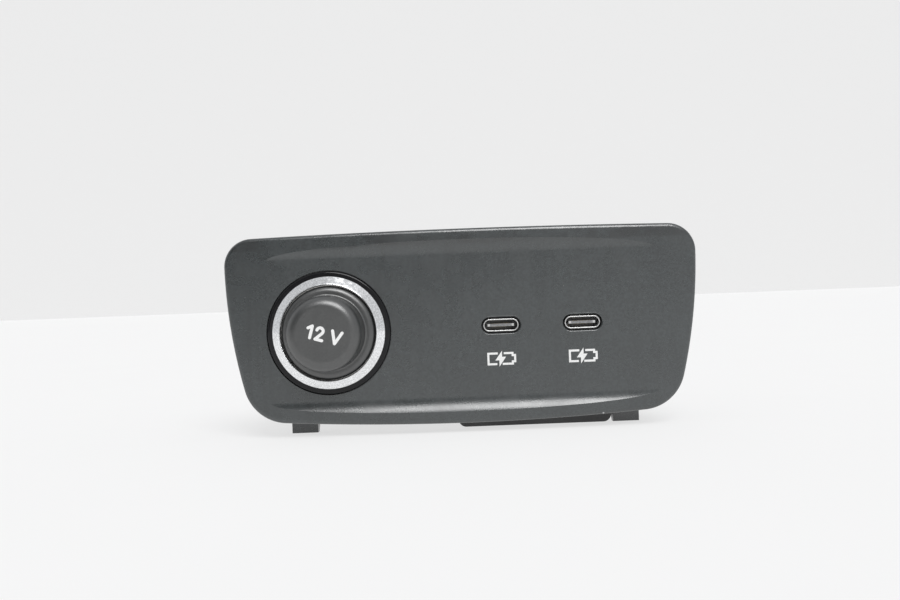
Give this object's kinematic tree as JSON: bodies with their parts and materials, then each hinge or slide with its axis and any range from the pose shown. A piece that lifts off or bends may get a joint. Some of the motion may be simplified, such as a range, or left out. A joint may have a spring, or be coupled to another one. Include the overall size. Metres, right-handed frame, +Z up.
{
  "type": "car console panel with 12 volt socket and usb charging ports",
  "caption": "Crowned console panel that clips into a car, with a capped round 12 volt socket on the left and a charger module with side by side USB-C ports on the right.",
  "frame": {"origin": "middle of the panel's rear seating rim, in the plane of that rim", "axes": "+X to the right along the panel seen from the driver, +Y to the rear into the console, +Z up"},
  "size_m": [0.1194, 0.0727, 0.0513],
  "materials": {
    "panel_plastic": "fine grain",
    "collar_plastic": "gloss",
    "trim_metal": "satin",
    "cap_plastic": "soft touch",
    "barrel_steel": "drawn, plated",
    "insulator_plastic": "plain",
    "contact_brass": "bright",
    "blade_metal": "tinned",
    "housing_plastic": "plain",
    "board_laminate": "solder mask",
    "component_dark": "plain",
    "component_can": "satin",
    "screw_steel": "zinc plated",
    "shell_steel": "bright",
    "tongue_plastic": "plain",
    "spring_steel": "phosphated"
  },
  "bodies": {
    "console_panel": {"front_panel": "panel_plastic", "spring_clip_left": "spring_steel", "spring_clip_right": "spring_steel", "socket_sleeve": "collar_plastic", "trim_ring": "trim_metal", "socket_barrel": "barrel_steel", "contact_insulator": "insulator_plastic", "centre_contact": "contact_brass", "rear_insulator": "insulator_plastic", "positive_terminal": "blade_metal", "negative_terminal": "blade_metal", "socket_connector": "housing_plastic", "usb_front_cover": "housing_plastic", "usb_rear_housing": "housing_plastic", "usb_circuit_board": "board_laminate", "power_inductors": "component_dark", "bulk_capacitors": "component_can", "controller_chips": "component_dark", "connector_pins": "blade_metal", "module_screws": "screw_steel", "usb_shell_left": "shell_steel", "usb_shell_right": "shell_steel", "usb_tongue_left": "tongue_plastic", "usb_tongue_right": "tongue_plastic", "usb_mid_plate_left": "shell_steel", "usb_mid_plate_right": "shell_steel", "usb_contacts_left": "contact_brass", "usb_contacts_right": "contact_brass"},
    "cap": {"socket_cap": "cap_plastic"}
  },
  "joints": [
    {"name": "cap_pull", "type": "slide", "parent": "console_panel", "child": "cap", "axis": [0, -1, 0], "range_m": [0, 0.035]}
  ]
}
